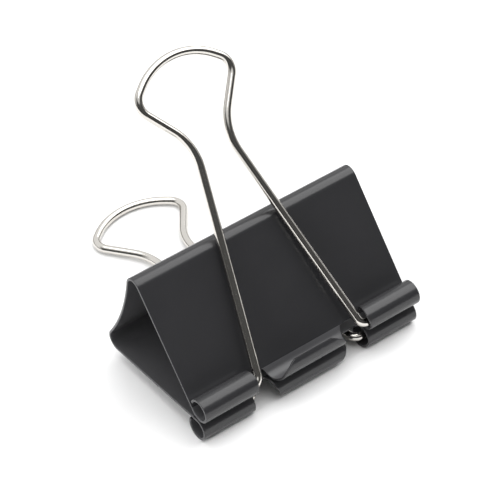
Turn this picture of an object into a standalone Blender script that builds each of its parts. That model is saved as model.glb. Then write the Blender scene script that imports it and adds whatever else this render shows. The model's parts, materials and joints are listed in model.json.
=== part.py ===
"""Binder clip: a folded spring-steel body and two wire handles, at rest on a table.

The clip is drawn in its own section: u runs from the jaws towards the spine and v from the lower leaf
towards the upper one, with its origin midway between the two curled jaws. X runs along the jaws, with
X = 0 at their middle. An empty, clip_frame, then tilts the section so that the lower curls and the end
of the lower handle stand on the table, Z = 0, with the whole clip centred over the origin.
"""

import math

import bmesh
import bpy
import numpy as np
from mathutils import Vector

MM = 0.001

# Body, one strip of spring steel
WIDTH = 51.0 * MM
SHEET = 0.5 * MM
CLEARANCE = 0.3 * MM  # left between pieces that rest on or slide past each other

# Section of the body
BEND_CENTRE = Vector((24.7, 10.8)) * MM  # of the upper ridge; the lower one mirrors it
BEND_RADIUS = 2.3 * MM  # outside of the sheet
SPINE_HOLLOW = 1.1 * MM  # how far the spine bows in between its two bends
CURL_RADIUS = 2.5 * MM  # outside of the curled jaws
CURL_TURN = math.radians(305)
FLAP_TURN = math.radians(190)
JAW_STAGGER = 1.2 * MM  # the lower jaw reaches this much further forward
EYE_HEIGHT = CURL_RADIUS + CLEARANCE / 2

# Inner edge of the jaw's end tabs, and edge of its middle flap: (turn of the curl in degrees, X)
TAB_EDGE = ((0, 13.6 * MM), (110, 13.6 * MM), (190, 13.1 * MM), (305, 13.8 * MM))
FLAP_EDGE = ((0, 9.0 * MM), (60, 8.4 * MM), (140, 7.1 * MM), (190, 4.7 * MM))
NOTCH_DEPTH = 0.8 * MM  # how far the notches run on into the flat leaf

# Handles, one bent wire each, in their own plane: (X, distance from the hinge)
WIRE_RADIUS = 0.87 * MM
UPPER_PLAY = Vector((-0.75, 0.4)) * MM  # from the middle of its curls, along and out from the leaf
UPPER_SLIDE = 0.1 * MM  # and along X
STUB_END = Vector((17.5, 0.0)) * MM
HANDLE_CORNERS = (  # each with the radius that rounds it
    (Vector((12.2, 0.0)) * MM, 1.8 * MM),
    (Vector((3.4, 45.0)) * MM, 11.0 * MM),
    (Vector((11.4, 56.0)) * MM, 3.2 * MM),
)
CROWN_RADIUS = 12.8 * MM
HANDLE_REACH = 61.7 * MM  # from the hinge to the middle of the crown's wire

# Smoothness
ARC_STEP = math.radians(15)
WIRE_STEP = math.radians(7.5)
SPINE_STEPS = 7  # an odd number, so that a flat strip runs along the middle of the spine
WIRE_BEVEL_RESOLUTION = 8  # twenty sides


def polar(centre, radius, angle):
    """Point at radius and angle about centre, angles counted from the first axis towards the second."""
    return centre + radius * Vector((math.cos(angle), math.sin(angle)))


def arc(centre, radius, start, end, steps=None):
    """Points along an arc, both ends included."""
    steps = steps or math.ceil(abs(end - start) / ARC_STEP)
    return [polar(centre, radius, start + (end - start) * i / steps) for i in range(steps + 1)]


def angle_over_bend(start, gap):
    """Angle of a line from start that passes the bend with a gap to the outside of its sheet."""
    reach = BEND_CENTRE - start
    return math.atan2(reach.y, reach.x) + math.asin((BEND_RADIUS + gap) / reach.length)


class Side:
    """Where one leaf, its jaw and its handle lie, drawn upwards. sign -1 turns the drawing over."""

    def __init__(self, name, sign, setback, play, slide):
        self.name = name
        self.sign = sign
        self.eye = Vector((setback, EYE_HEIGHT))  # axis of the curl
        leaf_angle = angle_over_bend(self.eye, CURL_RADIUS - SHEET)
        self.leaf_normal = leaf_angle + math.pi / 2
        self.out = polar(Vector((0.0, 0.0)), 1.0, self.leaf_normal)
        self.along = Vector((self.out.y, -self.out.x))  # from the jaw towards the bend
        self.pin = self.eye + play.x * self.along + play.y * self.out  # axis of the handle
        self.slide = Vector((slide, 0.0, 0.0))
        self.handle_angle = angle_over_bend(self.pin, WIRE_RADIUS + CLEARANCE)
        self.split = (self.leaf_normal + SPINE_NORMAL) / 2
        self.bend_axis = polar(BEND_CENTRE, BEND_RADIUS, self.split)

    def place(self, point):
        """A drawn section point (u, v) in the clip's frame, at X = 0."""
        return Vector((0.0, point.x, self.sign * point.y))


SPINE_REACH = (BEND_CENTRE.y**2 + SPINE_HOLLOW**2) / (2 * SPINE_HOLLOW)
SPINE_NORMAL = -math.asin(BEND_CENTRE.y / SPINE_REACH)  # direction that the spine faces at the upper bend
SPINE_CENTRE = Vector((BEND_CENTRE.x + SPINE_REACH - SPINE_HOLLOW, 0.0))
SPLIT_GAP = CLEARANCE / 2 / (BEND_RADIUS - SHEET)  # half the gap at a split, as an angle about the bend
UPPER = Side("upper", 1, JAW_STAGGER / 2, UPPER_PLAY, UPPER_SLIDE)
LOWER = Side("lower", -1, -JAW_STAGGER / 2, Vector((0.0, 0.0)), 0.0)


def spine_line():
    """Middle of the sheet from the split in the upper bend to the split in the lower one."""
    bend = BEND_RADIUS - SHEET / 2
    upper = arc(BEND_CENTRE, bend, UPPER.split - SPLIT_GAP, SPINE_NORMAL)
    lower = arc(BEND_CENTRE, bend, SPINE_NORMAL, LOWER.split - SPLIT_GAP)
    middle = arc(
        SPINE_CENTRE,
        SPINE_REACH - bend,
        math.pi + SPINE_NORMAL,
        math.pi - SPINE_NORMAL,
        SPINE_STEPS,
    )
    return upper + middle[1:-1] + [Vector((p.x, -p.y)) for p in lower]


def leaf_line(side):
    """Middle of the sheet from the split in the bend to the notches, and where the curl starts."""
    foot = side.eye - (CURL_RADIUS - SHEET / 2) * side.out
    bend = arc(BEND_CENTRE, BEND_RADIUS - SHEET / 2, side.split + SPLIT_GAP, side.leaf_normal)
    return bend + [foot + NOTCH_DEPTH * side.along], foot


def curl_line(side, turn):
    """Middle of the curled sheet from its foot on the leaf, and the turn in degrees at each point."""
    foot_angle = side.leaf_normal + math.pi
    points = arc(side.eye, CURL_RADIUS - SHEET / 2, foot_angle, foot_angle - turn)
    return points, np.linspace(0.0, math.degrees(turn), len(points))


def edge_at(edge, turns):
    """X of a tab's or flap's edge at each turn of the curl."""
    return np.interp(turns, [t for t, _ in edge], [x for _, x in edge])


def add_panel(bm, line, left, right):
    """A strip of sheet that follows a section line, between two edges given as X at each of its points."""
    last = len(line) - 1
    grid = bmesh.ops.create_grid(bm, x_segments=1, y_segments=last, size=0.5)
    for vert in grid["verts"]:
        row = round((vert.co.y + 0.5) * last)
        x = left[row] if vert.co.x < 0 else right[row]
        vert.co = (x, line[row].x, line[row].y)


def leaf_panels(bm, side):
    """The leaf's flat part in five panels, then its two end tabs and its middle flap, all sharing edges."""
    flat, foot = leaf_line(side)
    tab, tab_turns = curl_line(side, CURL_TURN)
    flap, flap_turns = curl_line(side, FLAP_TURN)
    tab_edge = edge_at(TAB_EDGE, tab_turns)
    flap_edge = edge_at(FLAP_EDGE, flap_turns)
    half = WIDTH / 2
    notch, base = tab_edge[0], flap_edge[0]
    stops = (-half, -notch, -base, base, notch, half)
    for left, right in zip(stops, stops[1:]):
        add_panel(bm, flat, [left] * len(flat), [right] * len(flat))
    root = flat[-1]
    tab_line = [root, *tab]
    tab_edge = [notch, *tab_edge]
    ends = [half] * len(tab_line)
    add_panel(bm, tab_line, [-x for x in ends], [-x for x in tab_edge])
    add_panel(bm, tab_line, tab_edge, ends)
    flap_edge = [base, *flap_edge]
    add_panel(bm, [root, *flap], [-x for x in flap_edge], flap_edge)


def spine_panels(bm):
    line = spine_line()
    add_panel(bm, line, [-WIDTH / 2] * len(line), [WIDTH / 2] * len(line))


def material(name, colour, metallic, roughness):
    made = bpy.data.materials.new(name)
    made.use_nodes = True
    shader = made.node_tree.nodes["Principled BSDF"]
    shader.inputs["Base Color"].default_value = (*colour, 1.0)
    shader.inputs["Metallic"].default_value = metallic
    shader.inputs["Roughness"].default_value = roughness
    return made


def link(collection, obj, parent, location):
    collection.objects.link(obj)
    obj.parent = parent
    obj.location = location
    return obj


def sheet_object(name, bm, sign, origin, paint):
    """The panels in bm as one piece of sheet, turned over if sign is -1, with its origin at a point."""
    weld = 0.001 * MM
    bmesh.ops.remove_doubles(bm, verts=bm.verts, dist=weld)
    for vert in bm.verts:
        vert.co = Vector((vert.co.x, vert.co.y, sign * vert.co.z)) - origin
    mesh = bpy.data.meshes.new(name)
    bm.to_mesh(mesh)
    bm.free()
    mesh.materials.append(paint)
    obj = bpy.data.objects.new(name, mesh)
    solidify = obj.modifiers.new("sheet_thickness", "SOLIDIFY")
    solidify.thickness = SHEET
    solidify.offset = 0.0
    solidify.use_even_offset = True
    return obj


def rounded(corners):
    """A line through corners (point, radius), each inner corner rounded to an arc of its radius."""
    line = [corners[0][0]]
    for (before, _), (corner, radius), (after, _) in zip(corners, corners[1:], corners[2:]):
        back = (before - corner).normalized()
        ahead = (after - corner).normalized()
        half_angle = back.angle(ahead) / 2
        centre = corner + (back + ahead).normalized() * (radius / math.sin(half_angle))
        tangent = radius / math.tan(half_angle)
        first = corner + back * tangent - centre
        start = math.atan2(first.y, first.x)
        turn = math.copysign(math.pi - 2 * half_angle, back.cross(ahead))
        steps = 2 * math.ceil(abs(turn) / 2 / WIRE_STEP)
        line += arc(centre, radius, start, start - turn, steps)
    return line + [corners[-1][0]]


def crown_apex():
    """The corner between the two shoulders that the crown rounds, such that the handle has its reach."""
    shoulder = HANDLE_CORNERS[-1][0]
    to_centre = Vector((shoulder.x, HANDLE_REACH - CROWN_RADIUS - shoulder.y))
    rise = math.asin(CROWN_RADIUS / to_centre.length) + math.atan2(to_centre.y, to_centre.x)
    return Vector((0.0, shoulder.y + shoulder.x * math.tan(rise))), CROWN_RADIUS


def handle_line():
    """Middle of the wire: the stub in one curl, the leg, the loop, and the same again mirrored."""
    half = [(STUB_END, 0.0), *HANDLE_CORNERS]
    mirrored = [(Vector((-p.x, p.y)), r) for p, r in reversed(half)]
    return rounded([*half, crown_apex(), *mirrored])


def handle_object(name, metal):
    """A handle lying in its own XY plane, hinge along X through its origin."""
    curve = bpy.data.curves.new(name, "CURVE")
    curve.dimensions = "3D"
    curve.bevel_depth = WIRE_RADIUS
    curve.bevel_resolution = WIRE_BEVEL_RESOLUTION
    curve.use_fill_caps = True
    line = handle_line()
    spline = curve.splines.new("POLY")
    spline.points.add(len(line) - 1)
    for point, place in zip(spline.points, line):
        point.co = (place.x, place.y, 0.0, 1.0)
    curve.materials.append(metal)
    return bpy.data.objects.new(name, curve)


def clip_frame():
    """The empty that stands the clip on its lower curls and the end of its lower handle."""
    tilt = LOWER.handle_angle - math.asin((CURL_RADIUS - WIRE_RADIUS) / HANDLE_REACH)
    frame = bpy.data.objects.new("clip_frame", None)
    frame.rotation_euler.x = tilt
    upper_eye = rotated(UPPER.place(UPPER.eye), tilt)
    lower_eye = rotated(LOWER.place(LOWER.eye), tilt)
    handle_run = math.sqrt(HANDLE_REACH**2 - (CURL_RADIUS - WIRE_RADIUS) ** 2)
    front = upper_eye.y - CURL_RADIUS
    back = lower_eye.y + handle_run + WIRE_RADIUS
    frame.location = (0.0, -(front + back) / 2, CURL_RADIUS - lower_eye.z)
    return frame


def rotated(point, angle):
    """A point turned about X."""
    y = point.y * math.cos(angle) - point.z * math.sin(angle)
    z = point.y * math.sin(angle) + point.z * math.cos(angle)
    return Vector((point.x, y, z))


def build():
    for obj in list(bpy.data.objects):
        bpy.data.objects.remove(obj)
    parts = bpy.data.collections.new("binder_clip")
    bpy.context.scene.collection.children.link(parts)
    paint = material("black_enamel", (0.028, 0.028, 0.032), 0.0, 0.35)
    nickel = material("nickel_plate", (0.75, 0.74, 0.71), 1.0, 0.12)

    frame = clip_frame()
    parts.objects.link(frame)
    bm = bmesh.new()
    spine_panels(bm)
    origin = Vector((0.0, 0.0, 0.0))
    link(parts, sheet_object("spine", bm, 1, origin, paint), frame, origin)
    for side in (UPPER, LOWER):
        bm = bmesh.new()
        leaf_panels(bm, side)
        hinge = side.place(side.bend_axis)
        leaf = sheet_object(side.name + "_leaf", bm, side.sign, hinge, paint)
        link(parts, leaf, frame, hinge)
        handle = handle_object(side.name + "_handle", nickel)
        link(parts, handle, leaf, side.place(side.pin) + side.slide - hinge)
        handle.rotation_euler.x = side.sign * side.handle_angle


build()
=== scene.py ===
import json
import math

import bmesh
import bpy
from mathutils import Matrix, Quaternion, Vector


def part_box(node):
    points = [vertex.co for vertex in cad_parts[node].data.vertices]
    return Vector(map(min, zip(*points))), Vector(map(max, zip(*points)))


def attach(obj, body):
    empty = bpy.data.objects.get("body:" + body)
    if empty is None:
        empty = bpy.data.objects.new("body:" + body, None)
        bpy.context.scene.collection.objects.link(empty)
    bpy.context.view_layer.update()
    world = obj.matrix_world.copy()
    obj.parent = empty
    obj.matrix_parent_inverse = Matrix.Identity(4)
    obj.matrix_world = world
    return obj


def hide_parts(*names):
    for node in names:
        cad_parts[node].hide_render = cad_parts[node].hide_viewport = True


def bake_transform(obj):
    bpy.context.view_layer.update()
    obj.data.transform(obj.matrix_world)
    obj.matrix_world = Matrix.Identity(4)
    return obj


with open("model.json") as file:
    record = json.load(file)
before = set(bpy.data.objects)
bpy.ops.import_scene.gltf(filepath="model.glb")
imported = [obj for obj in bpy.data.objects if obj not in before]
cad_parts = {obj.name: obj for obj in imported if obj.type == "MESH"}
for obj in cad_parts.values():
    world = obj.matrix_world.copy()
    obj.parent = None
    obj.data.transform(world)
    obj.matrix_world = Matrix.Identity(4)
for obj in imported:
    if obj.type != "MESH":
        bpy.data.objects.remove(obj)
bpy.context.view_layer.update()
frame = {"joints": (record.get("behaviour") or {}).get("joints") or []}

# The clip's section is drawn in u, from the jaws towards the spine, and v, from the lower leaf towards
# the upper one, with its origin midway between the upper and lower curls. X runs along the jaws. The
# frame says where the handles' hinges are, which tells where the section's origin is and how it tilts.

MM = 0.001

# Body, one strip of spring steel, as in the CAD
SHEET = 0.5 * MM
CLEARANCE = 0.3 * MM
BEND_CENTRE = Vector((24.7, 10.8)) * MM
BEND_RADIUS = 2.3 * MM
SPINE_HOLLOW = 1.1 * MM
CURL_RADIUS = 2.5 * MM
TAB_TURN = math.radians(305)
FLAP_TURN = math.radians(190)
JAW_STAGGER = 1.2 * MM
EYE_HEIGHT = CURL_RADIUS + CLEARANCE / 2

# Edges of the rolled jaw: (turn of the curl in degrees, X)
TAB_EDGE = ((0, 13.6 * MM), (110, 13.6 * MM), (190, 13.1 * MM), (305, 13.8 * MM))
FLAP_EDGE = ((0, 9.0 * MM), (60, 8.4 * MM), (140, 7.1 * MM), (190, 4.7 * MM))
NOTCH_DEPTH = 0.8 * MM
NOTCH_ROUNDING = 0.8 * MM
CORNER_ROUNDING = 0.7 * MM
EDGE_ROUNDING = 0.11 * MM  # of the sheared and tumbled edges of the sheet
EDGE_SUPPORT = 0.35 * MM  # column of faces that keeps the shading flat up to the edge

# Handles: (X, distance from the hinge) of each corner with the radius that rounds it
WIRE_RADIUS = 0.87 * MM
UPPER_PLAY = Vector((-0.75, 0.4)) * MM  # from the middle of its curls, along and out from the leaf
STUB_END = Vector((17.5, 0.0)) * MM
HANDLE_CORNERS = (
    (Vector((12.2, 0.0)) * MM, 1.8 * MM),
    (Vector((3.4, 45.0)) * MM, 11.0 * MM),
    (Vector((11.4, 56.0)) * MM, 3.2 * MM),
)
CROWN_RADIUS = 12.8 * MM
HANDLE_REACH = 61.7 * MM  # from the hinge to the middle of the crown's wire
STUB_CHAMFER = 0.25 * MM

# Smoothness
CURL_STEP = math.radians(5)
BEND_STEP = math.radians(5)
WIRE_STEP = math.radians(4)
WIRE_BEVEL_RESOLUTION = 8  # twenty sides
WIRE_CREASE = math.radians(40)  # sharper edges of the wire are shaded as edges
SPINE_STEPS = 20
LEAF_STEPS = 16
ROUNDING_STEP = 15  # degrees, of the notches' roots and the tabs' corners
EDGE_SEGMENTS = 3  # of the rounding of a cut edge
CUT_EDGE = math.radians(50)  # an edge that turns by more than this is a cut edge of the sheet
SEAM_BAND = 0.02 * MM  # how far the cut along the middle of the spine strays from a plane
SAME_PLACE = 0.001 * MM  # closer points are one
FLAT_FACE_WEIGHT = 60  # how far the large flat faces lead the shading of their edges

# How far from a ridge the steel bends when the jaws open, along the spine and along the leaf
FLEX_SPINE = 7.0 * MM
FLEX_LEAF = 9.0 * MM

# Camera
TARGET = Vector((3.94, -7.56, 15.0)) * MM
AZIMUTH = math.radians(34.58)
ELEVATION = math.radians(41.88)
DISTANCE = 431.35 * MM
ROLL = math.radians(3.37)
LENS_MM = 160.5
SENSOR_MM = 36.0

FLOOR_SIZE = 6.0

# Paints of the shells, in the order of their material slots; the inner one is lighter, as painted light in
# the shaded hollows
OUTER, EDGE, INNER_PAINTED_LIGHT = range(3)

# Light, in metres. The room is pale, darker towards the viewer's left and low down, with a pale ceiling,
# a large soft light overhead and a smaller one on the left.
KEY_DIRECTION = Vector((0.34, -0.015, 0.93))
KEY_DISTANCE = 2.55
KEY_SIZE = (2.82, 4.35)  # across the jaws and along them
KEY_RADIANCE = 2.2
FILL_DIRECTION = Vector((-0.95, -0.05, 0.28))
FILL_DISTANCE = 1.8
FILL_SIZE = (1.05, 1.05)
FILL_RADIANCE = 7.0
ROOM_LIGHT = 1.05
ROOM_DARK = 0.085
DARK_SIDE = (-0.25, -0.80, 0.55)
DARK_SIDE_EDGE = (0.15, 0.4)  # cosines of the angle to the middle of the dark side
LOW_BAND_EDGE = (0.10, 0.26)  # sines of elevation
LOW_BAND_LIGHT = 0.06
CEILING_EDGE = (0.68, 0.76)  # sines of elevation
CEILING_LIGHT = 0.85


# Section geometry


def polar(centre, radius, angle):
    """Point at radius and angle about centre, angles counted from the first axis towards the second."""
    return centre + radius * Vector((math.cos(angle), math.sin(angle)))


def arc(centre, radius, start, end, step):
    """Points along an arc, both ends and its middle included."""
    steps = 2 * math.ceil(abs(end - start) / 2 / step)
    return [polar(centre, radius, start + (end - start) * i / steps) for i in range(steps + 1)]


def straight(start, end, steps):
    """Points along a straight stretch, both ends included."""
    return [start.lerp(end, i / steps) for i in range(steps + 1)]


def angle_over_bend(start, gap):
    """Angle of a line from start that passes the bend with a gap to the outside of its sheet."""
    reach = BEND_CENTRE - start
    return math.atan2(reach.y, reach.x) + math.asin((BEND_RADIUS + gap) / reach.length)


def turned_about_x(point, angle):
    y = point.y * math.cos(angle) - point.z * math.sin(angle)
    z = point.y * math.sin(angle) + point.z * math.cos(angle)
    return Vector((point.x, y, z))


class Side:
    """One leaf with its jaw and its handle, drawn upwards. sign -1 turns the drawing over."""

    def __init__(self, name, sign, play):
        self.name = name
        self.sign = sign
        self.eye = Vector((sign * JAW_STAGGER / 2, EYE_HEIGHT))  # axis of the curl
        leaf_angle = angle_over_bend(self.eye, CURL_RADIUS - SHEET)
        self.leaf_normal = leaf_angle + math.pi / 2
        normal = polar(Vector((0.0, 0.0)), 1.0, self.leaf_normal)
        self.along_leaf = Vector((normal.y, -normal.x))  # from the jaw towards the bend
        self.foot = self.eye - (CURL_RADIUS - SHEET / 2) * normal
        self.pin = self.eye + play.x * self.along_leaf + play.y * normal  # axis of the handle
        self.handle_angle = angle_over_bend(self.pin, WIRE_RADIUS + CLEARANCE)
        low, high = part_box(name + "_handle")
        self.handle_middle = (low[0] + high[0]) / 2

    def section(self, x, point):
        """A drawn point (u, v) at X, turned over for the lower side."""
        return Vector((x, point.x, self.sign * point.y))

    def world(self, x, point):
        """The same point in the row's frame."""
        return ORIGIN + turned_about_x(self.section(x, point), TILT)


def hinge_place(name):
    return next(Vector(joint["pos_m"]) for joint in frame["joints"] if joint["name"] == name)


def section_frame():
    """How the section tilts and where its origin is, from where the frame has the handles' two hinges."""
    upper, lower = hinge_place("upper_handle_fold"), hinge_place("lower_handle_fold")
    drawn_lower = LOWER.section(0.0, LOWER.pin)
    drawn = UPPER.section(0.0, UPPER.pin) - drawn_lower
    across = upper - lower
    tilt = math.atan2(across.z, across.y) - math.atan2(drawn.z, drawn.y)
    return tilt, lower - turned_about_x(drawn_lower, tilt)


UPPER = Side("upper", 1, UPPER_PLAY)
LOWER = Side("lower", -1, Vector((0.0, 0.0)))
TILT, ORIGIN = section_frame()
HALF_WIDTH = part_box("spine")[1].x

# The spine bows in along an arc: its radius, the direction of its end and its centre
SPINE_REACH = (BEND_CENTRE.y**2 + SPINE_HOLLOW**2) / (2 * SPINE_HOLLOW)
SPINE_NORMAL = -math.asin(BEND_CENTRE.y / SPINE_REACH)
SPINE_CENTRE = Vector((BEND_CENTRE.x + SPINE_REACH - SPINE_HOLLOW, 0.0))


# Mesh building


def add_panel(bm, rows, columns):
    """A strip of sheet: rows are places (u, v) along the section, columns lists of X, one for each row."""
    last_row, last_column = len(rows) - 1, len(columns) - 1
    grid = bmesh.ops.create_grid(bm, x_segments=last_column, y_segments=last_row, size=0.5)
    for vert in grid["verts"]:
        row = round((vert.co.y + 0.5) * last_row)
        column = round((vert.co.x + 0.5) * last_column)
        vert.co = (columns[column][row], rows[row].x, rows[row].y)


def interpolate(table, at):
    """Value of a table of (place, value) at a place, straight between its entries."""
    for (p0, v0), (p1, v1) in zip(table, table[1:]):
        if at <= p1:
            return v0 + (v1 - v0) * (at - p0) / (p1 - p0)
    return table[-1][1]


def root_rows():
    """How far past the notches' root each row of their rounding lies, and how much wider the sheet is."""
    angles = [math.radians(a) for a in range(0, 91, ROUNDING_STEP)]
    return [(NOTCH_ROUNDING * (1 - math.cos(a)), NOTCH_ROUNDING * (1 - math.sin(a))) for a in angles]


def curled_edge(side, turn, edge):
    """Rows of a curled tab or flap from the notches' root to its free edge, and the X of its edge on each."""
    radius = CURL_RADIUS - SHEET / 2
    length = radius * turn
    rows, edges = [], []
    for past_root, wider in root_rows()[:-1]:
        rows.append(side.foot + (NOTCH_DEPTH - past_root) * side.along_leaf)
        edges.append((edge[0][1], wider))
    plain = length - CORNER_ROUNDING
    steps = math.ceil(plain / radius / CURL_STEP)
    places = [(plain * i / steps, 0.0) for i in range(steps + 1)]
    for a in range(ROUNDING_STEP, 91, ROUNDING_STEP):
        sine, cosine = math.sin(math.radians(a)), math.cos(math.radians(a))
        places.append((plain + CORNER_ROUNDING * sine, CORNER_ROUNDING * (cosine - 1)))
    for place, wider in places:
        angle = place / radius
        rows.append(polar(side.eye, radius, side.leaf_normal + math.pi - angle))
        edges.append((interpolate(edge, math.degrees(angle)), wider))
    return rows, edges


def half_shell_panels(bm, side):
    """Half the body, from the middle of the spine over one ridge to the curled jaw."""
    bend = BEND_RADIUS - SHEET / 2
    spine_step = -SPINE_NORMAL / SPINE_STEPS
    spine = arc(SPINE_CENTRE, SPINE_REACH - bend, math.pi, math.pi + SPINE_NORMAL, spine_step)
    ridge = arc(BEND_CENTRE, bend, SPINE_NORMAL, side.leaf_normal, BEND_STEP)
    root = side.foot + NOTCH_DEPTH * side.along_leaf
    leaf = straight(ridge[-1], root, LEAF_STEPS)
    flat = spine[:-1] + ridge[:-1] + leaf

    tab_rows, tab_edges = curled_edge(side, TAB_TURN, TAB_EDGE)
    flap_rows, flap_edges = curled_edge(side, FLAP_TURN, FLAP_EDGE)
    tab = [x - wider for x, wider in tab_edges]
    flap = [x + wider for x, wider in flap_edges]
    tab_columns = [
        tab,
        [x + EDGE_SUPPORT for x in tab],
        [HALF_WIDTH - EDGE_SUPPORT] * len(tab),
        [HALF_WIDTH] * len(tab),
    ]
    flap_half = [[x - EDGE_SUPPORT for x in flap], flap]
    for sign in (1, -1):
        add_panel(bm, tab_rows, [[sign * x for x in column] for column in tab_columns[::sign]])
    add_panel(bm, flap_rows, [[-x for x in column] for column in flap_half[::-1]] + flap_half)

    half = [column[0] for column in flap_half + tab_columns]
    stops = [-x for x in half[::-1]] + half
    add_panel(bm, flat, [[x] * len(flat) for x in stops])


def linked(name, data):
    """A new object in the scene."""
    obj = bpy.data.objects.new(name, data)
    bpy.context.scene.collection.objects.link(obj)
    return obj


def finished(obj):
    """obj's evaluated mesh as a new plain object of the same name."""
    graph = bpy.context.evaluated_depsgraph_get()
    mesh = bpy.data.meshes.new_from_object(obj.evaluated_get(graph), depsgraph=graph)
    name = obj.name
    bpy.data.objects.remove(obj)
    return linked(name, mesh)


def modified(obj, kind, **settings):
    """obj with one modifier applied, as a new plain object of the same name."""
    modifier = obj.modifiers.new(kind, kind)
    for setting, value in settings.items():
        setattr(modifier, setting, value)
    return finished(obj)


def weld(bm):
    bmesh.ops.remove_doubles(bm, verts=bm.verts, dist=SAME_PLACE)


def paint_jaw(mesh, side):
    """Swaps the paints on the rolled jaw: the curls' outside, the inner face of the sheet, takes the dark
    outer enamel, and their bore takes the lighter inner enamel, painted light in that shaded hollow.
    """
    eye = side.world(0.0, side.eye)
    for face in mesh.polygons:
        away = face.center - eye
        from_eye = math.hypot(away.y, away.z)
        if face.material_index == INNER_PAINTED_LIGHT and from_eye < CURL_RADIUS + CLEARANCE:
            face.material_index = OUTER
        # the bore of the curl takes the lighter inner paint: painted light in its shade
        elif face.material_index == OUTER and from_eye < CURL_RADIUS - SHEET / 2:
            face.material_index = INNER_PAINTED_LIGHT


def mark_edges(mesh, side):
    """Marks the sheet's cut edges for rounding, but for the seam along the middle of the spine."""
    seam = side.world(0.0, Vector((0.0, 0.0)))
    along = turned_about_x(Vector((0.0, 0.0, 1.0)), TILT)
    bm = bmesh.new()
    bm.from_mesh(mesh)
    weight = bm.edges.layers.float.new("bevel_weight_edge")
    for edge in bm.edges:
        if len(edge.link_faces) == 2 and edge.calc_face_angle() > CUT_EDGE:
            on_seam = all(abs((vert.co - seam).dot(along)) < SEAM_BAND for vert in edge.verts)
            edge[weight] = 0.0 if on_seam else 1.0
            edge.smooth = not on_seam
    bm.to_mesh(mesh)
    bm.free()


def middle_surface(name, side, paints):
    """Half the body as a surface down the middle of the sheet."""
    bm = bmesh.new()
    half_shell_panels(bm, side)
    weld(bm)
    for vert in bm.verts:
        vert.co = side.world(vert.co.x, Vector((vert.co.y, vert.co.z)))
    if side.sign > 0:
        bmesh.ops.reverse_faces(bm, faces=bm.faces)
    mesh = bpy.data.meshes.new(name)
    bm.to_mesh(mesh)
    bm.free()
    for paint in paints:
        mesh.materials.append(paint)
    return linked(name, mesh)


def half_shell(name, side, paints):
    """Half the body as a sheet with rounded edges."""
    shell = modified(
        middle_surface(name, side, paints),
        "SOLIDIFY",
        thickness=SHEET,
        offset=0.0,
        use_even_offset=True,
        material_offset_rim=EDGE,
        material_offset=INNER_PAINTED_LIGHT,
    )
    shell.data.shade_smooth()
    mark_edges(shell.data, side)
    shell = modified(
        shell,
        "BEVEL",
        width=EDGE_ROUNDING,
        segments=EDGE_SEGMENTS,
        limit_method="WEIGHT",
        use_clamp_overlap=False,
    )
    paint_jaw(shell.data, side)
    shell = modified(shell, "WEIGHTED_NORMAL", weight=FLAT_FACE_WEIGHT, keep_sharp=True)
    start = BEND_CENTRE + Vector((BEND_RADIUS, -FLEX_SPINE))
    end = BEND_CENTRE + polar(Vector((0.0, 0.0)), BEND_RADIUS, side.leaf_normal) - FLEX_LEAF * side.along_leaf
    side.world(0.0, start)
    side.world(0.0, end)
    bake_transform(shell)
    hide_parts("spine", side.name + "_leaf")


def rounded(corners, step):
    """A line through corners (point, radius), each inner corner rounded to an arc of its radius."""
    line = [corners[0][0]]
    for (before, _), (corner, radius), (after, _) in zip(corners, corners[1:], corners[2:]):
        back = (before - corner).normalized()
        ahead = (after - corner).normalized()
        half_angle = back.angle(ahead) / 2
        centre = corner + (back + ahead).normalized() * (radius / math.sin(half_angle))
        first = corner + back * (radius / math.tan(half_angle)) - centre
        start = math.atan2(first.y, first.x)
        turn = math.copysign(math.pi - 2 * half_angle, back.cross(ahead))
        line += arc(centre, radius, start, start - turn, step)
    return line + [corners[-1][0]]


def crown_apex():
    """The corner between the two shoulders that the crown rounds, such that the handle has its reach."""
    shoulder = HANDLE_CORNERS[-1][0]
    to_centre = Vector((shoulder.x, HANDLE_REACH - CROWN_RADIUS - shoulder.y))
    rise = math.asin(CROWN_RADIUS / to_centre.length) + math.atan2(to_centre.y, to_centre.x)
    return Vector((0.0, shoulder.y + shoulder.x * math.tan(rise))), CROWN_RADIUS


def handle_line():
    """Middle of the wire: the stub in one curl, the leg, the loop, and the same again mirrored."""
    half = [(STUB_END, 0.0), *HANDLE_CORNERS]
    mirrored = [(Vector((-p.x, p.y)), r) for p, r in reversed(half)]
    return rounded([*half, crown_apex(), *mirrored], WIRE_STEP)


def weld_caps(mesh):
    """Joins the caps on a wire's ends to its skin."""
    bm = bmesh.new()
    bm.from_mesh(mesh)
    weld(bm)
    bm.to_mesh(mesh)
    bm.free()


def handle(name, side, metal):
    """One bent wire, resting on its ridge, with chamfered ends."""
    line = handle_line()
    inset = Vector((STUB_CHAMFER, 0.0))
    line = [line[0], line[0] - inset, *line[1:-1], line[-1] + inset, line[-1]]
    curve = bpy.data.curves.new(name, "CURVE")
    curve.dimensions = "3D"
    curve.bevel_depth = WIRE_RADIUS
    curve.bevel_resolution = WIRE_BEVEL_RESOLUTION
    curve.use_fill_caps = True
    spline = curve.splines.new("POLY")
    spline.points.add(len(line) - 1)
    direction = polar(Vector((0.0, 0.0)), 1.0, side.handle_angle)
    for point, place in zip(spline.points, line):
        x = side.handle_middle + place.x
        point.co = (*side.world(x, side.pin + direction * place.y), 1.0)
    for end in (0, -1):
        spline.points[end].radius = 1.0 - STUB_CHAMFER / WIRE_RADIUS
    curve.materials.append(metal)
    wire = finished(linked(name, curve))
    weld_caps(wire.data)
    wire.data.shade_smooth()
    wire.data.set_sharp_from_angle(angle=WIRE_CREASE)
    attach(wire, side.name + "_handle")
    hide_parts(side.name + "_handle")


# Materials


def new_material(name):
    """A material with nodes, its node tree and its shader."""
    made = bpy.data.materials.new(name)
    made.use_nodes = True
    tree = made.node_tree
    return made, tree, tree.nodes["Principled BSDF"]


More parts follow.
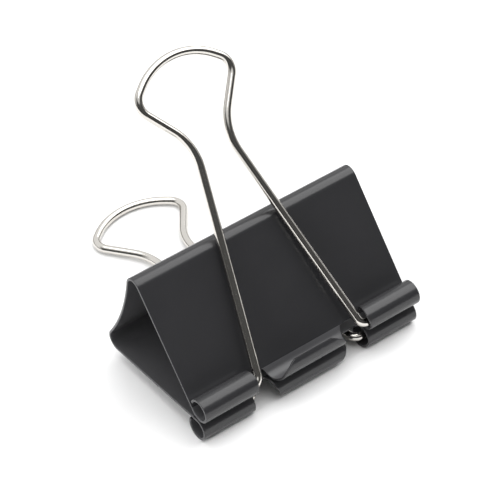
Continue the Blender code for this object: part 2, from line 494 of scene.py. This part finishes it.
def noise(tree, coordinates, scale, detail, roughness=0.5):
    node = tree.nodes.new("ShaderNodeTexNoise")
    node.inputs["Scale"].default_value = scale
    node.inputs["Detail"].default_value = detail
    node.inputs["Roughness"].default_value = roughness
    tree.links.new(coordinates, node.inputs["Vector"])
    return node.outputs["Fac"]


def mapped(tree, value, from_low, from_high, to_low, to_high):
    node = tree.nodes.new("ShaderNodeMapRange")
    tree.links.new(value, node.inputs["Value"])
    ends = {"From Min": from_low, "From Max": from_high, "To Min": to_low, "To Max": to_high}
    for socket, number in ends.items():
        node.inputs[socket].default_value = number
    return node.outputs["Result"]


def mixed_colour(tree, factor, low, high):
    node = tree.nodes.new("ShaderNodeMix")
    node.data_type = "RGBA"
    node.inputs["A"].default_value = (*low, 1.0)
    node.inputs["B"].default_value = (*high, 1.0)
    tree.links.new(factor, node.inputs["Factor"])
    return next(socket for socket in node.outputs if socket.type == "RGBA")


def bumped(tree, height, strength, distance, normal=None):
    node = tree.nodes.new("ShaderNodeBump")
    node.inputs["Strength"].default_value = strength
    node.inputs["Distance"].default_value = distance
    tree.links.new(height, node.inputs["Height"])
    if normal is not None:
        tree.links.new(normal, node.inputs["Normal"])
    return node.outputs["Normal"]


def object_place(tree):
    return tree.nodes.new("ShaderNodeTexCoord").outputs["Object"]


def drawn_out(tree, place, turn, lengths):
    """Coordinates turned about X by an angle and then scaled, for grain whose marks have these lengths."""
    node = tree.nodes.new("ShaderNodeMapping")
    node.vector_type = "TEXTURE"
    node.inputs["Rotation"].default_value = (turn, 0.0, 0.0)
    node.inputs["Scale"].default_value = lengths
    tree.links.new(place, node.inputs["Vector"])
    return node.outputs["Vector"]


def arithmetic(tree, operation, *values):
    node = tree.nodes.new("ShaderNodeMath")
    node.operation = operation
    for socket, value in zip(node.inputs, values):
        tree.links.new(value, socket)
    return node.outputs["Value"]


def enamel(name, dark, light, roughness):
    """Black stove enamel on steel: faint orange peel, uneven gloss, fine rub marks and a few specks."""
    made, tree, shader = new_material(name)
    place = object_place(tree)
    cloud = noise(tree, place, 90.0, 3.0)
    peel = noise(tree, place, 1600.0, 2.0)
    grit = noise(tree, place, 5200.0, 3.0, 0.6)
    rubbed = noise(tree, drawn_out(tree, place, TILT, (9.0 * MM, 0.25 * MM, 0.25 * MM)), 1.0, 4.0, 0.6)
    specks = mapped(tree, noise(tree, place, 3300.0, 0.0), 0.74, 0.80, 0.0, 1.0)
    shade = arithmetic(tree, "ADD", cloud, specks)
    tree.links.new(mixed_colour(tree, shade, dark, light), shader.inputs["Base Color"])
    gloss = mapped(tree, cloud, 0.3, 0.7, *roughness)
    worn = mapped(tree, rubbed, 0.3, 0.8, 0.0, 0.02)
    tree.links.new(arithmetic(tree, "ADD", gloss, worn), shader.inputs["Roughness"])
    normal = bumped(tree, peel, 0.25, 0.02 * MM)
    normal = bumped(tree, grit, 0.2, 0.006 * MM, normal)
    tree.links.new(normal, shader.inputs["Normal"])
    return made


def nickel(name, turn):
    """Bright nickel plate on drawn wire, with draw lines, soft blemishes and faint rubbed patches."""
    made, tree, shader = new_material(name)
    place = object_place(tree)
    cloud = noise(tree, place, 160.0, 3.0)
    specks = noise(tree, place, 2600.0, 4.0, 0.6)
    lines = noise(tree, drawn_out(tree, place, turn, (0.15 * MM, 4.0 * MM, 0.15 * MM)), 1.0, 3.0)
    colour = mixed_colour(tree, cloud, (0.62, 0.597, 0.56), (0.70, 0.677, 0.635))
    tree.links.new(colour, shader.inputs["Base Color"])
    shader.inputs["Metallic"].default_value = 1.0
    rough = mapped(tree, specks, 0.35, 0.75, 0.09, 0.18)
    tree.links.new(rough, shader.inputs["Roughness"])
    normal = bumped(tree, specks, 0.15, 0.01 * MM)
    tree.links.new(bumped(tree, lines, 0.1, 0.01 * MM, normal), shader.inputs["Normal"])
    return made


def paper_white(name):
    made, tree, shader = new_material(name)
    place = object_place(tree)
    grain = noise(tree, place, 400.0, 3.0)
    colour = mixed_colour(tree, grain, (0.89, 0.89, 0.89), (0.91, 0.91, 0.91))
    tree.links.new(colour, shader.inputs["Base Color"])
    shader.inputs["Roughness"].default_value = 0.9
    shader.inputs["Specular IOR Level"].default_value = 0.1
    return made


# Stage


def add_floor():
    mesh = bpy.data.meshes.new("floor")
    bm = bmesh.new()
    bmesh.ops.create_grid(bm, x_segments=2, y_segments=2, size=FLOOR_SIZE / 2)
    bm.to_mesh(mesh)
    bm.free()
    mesh.materials.append(paper_white("floor_white"))
    floor = linked("floor", mesh)


def aim(obj, place, target):
    obj.location = place
    obj.rotation_mode = "QUATERNION"
    obj.rotation_quaternion = (target - place).to_track_quat("-Z", "Y")


def add_softbox(name, towards, distance, size, radiance):
    """A rectangular soft light in a direction from the clip, with a given brightness of its face."""
    light = bpy.data.lights.new(name, "AREA")
    light.shape = "RECTANGLE"
    light.size, light.size_y = size
    light.energy = math.pi * light.size * light.size_y * radiance
    box = linked(name, light)
    box.visible_camera = False
    aim(box, TARGET + towards.normalized() * distance, TARGET)
    return box


def add_world():
    """A pale room with a pale ceiling, a dark side towards the viewer and a dark band low down all round."""
    world = bpy.data.worlds.new("studio")
    world.use_nodes = True
    tree = world.node_tree
    direction = tree.nodes.new("ShaderNodeTexCoord").outputs["Generated"]
    facing = tree.nodes.new("ShaderNodeVectorMath")
    facing.operation = "DOT_PRODUCT"
    facing.inputs[1].default_value = DARK_SIDE
    tree.links.new(direction, facing.inputs[0])
    room = mapped(tree, facing.outputs["Value"], *DARK_SIDE_EDGE, ROOM_LIGHT, ROOM_DARK)
    split = tree.nodes.new("ShaderNodeSeparateXYZ")
    tree.links.new(direction, split.inputs[0])
    low = mapped(tree, split.outputs["Z"], *LOW_BAND_EDGE, LOW_BAND_LIGHT, 1.0)
    ceiling = mapped(tree, split.outputs["Z"], *CEILING_EDGE, 0.0, CEILING_LIGHT)
    room = arithmetic(tree, "MAXIMUM", room, ceiling)
    seen = tree.nodes.new("ShaderNodeLightPath").outputs["Is Camera Ray"]
    strength = arithmetic(tree, "MAXIMUM", arithmetic(tree, "MULTIPLY", room, low), seen)
    background = tree.nodes["Background"]
    background.inputs["Color"].default_value = (1.0, 1.0, 1.0, 1.0)
    tree.links.new(strength, background.inputs["Strength"])
    bpy.context.scene.world = world


def add_camera():
    forward = Vector(
        (
            math.sin(AZIMUTH) * math.cos(ELEVATION),
            math.cos(AZIMUTH) * math.cos(ELEVATION),
            -math.sin(ELEVATION),
        )
    )
    data = bpy.data.cameras.new("camera")
    data.sensor_width = SENSOR_MM
    data.lens = LENS_MM
    data.clip_start = 0.01
    camera = linked("camera", data)
    aim(camera, TARGET - forward * DISTANCE, TARGET)
    camera.rotation_quaternion = camera.rotation_quaternion @ Quaternion((0.0, 0.0, 1.0), -ROLL)
    bpy.context.scene.camera = camera


def build():
    paints = (
        enamel("enamel", (0.025, 0.025, 0.027), (0.029, 0.029, 0.031), (0.20, 0.25)),
        enamel("enamel_edge", (0.026, 0.026, 0.028), (0.042, 0.042, 0.045), (0.20, 0.25)),
        # The inside enamel is much lighter than the outer: painted light that lifts the shade between the
        # leaves and in the curls' bores; its rougher gloss is the paint's own.
        enamel("enamel_inside_painted_light", (0.060, 0.060, 0.063), (0.076, 0.076, 0.080), (0.30, 0.42)),
    )
    for side in (UPPER, LOWER):
        half_shell(side.name + "_shell", side, paints)
        plate = nickel(side.name + "_nickel", TILT + side.sign * side.handle_angle)
        handle(side.name + "_wire", side, plate)
    add_floor()
    add_world()
    add_softbox("overhead", KEY_DIRECTION, KEY_DISTANCE, KEY_SIZE, KEY_RADIANCE)
    fill = add_softbox("side_fill", FILL_DIRECTION, FILL_DISTANCE, FILL_SIZE, FILL_RADIANCE)
    fill.visible_glossy = False
    bpy.context.scene.view_settings.view_transform = "Standard"
    add_camera()


build()
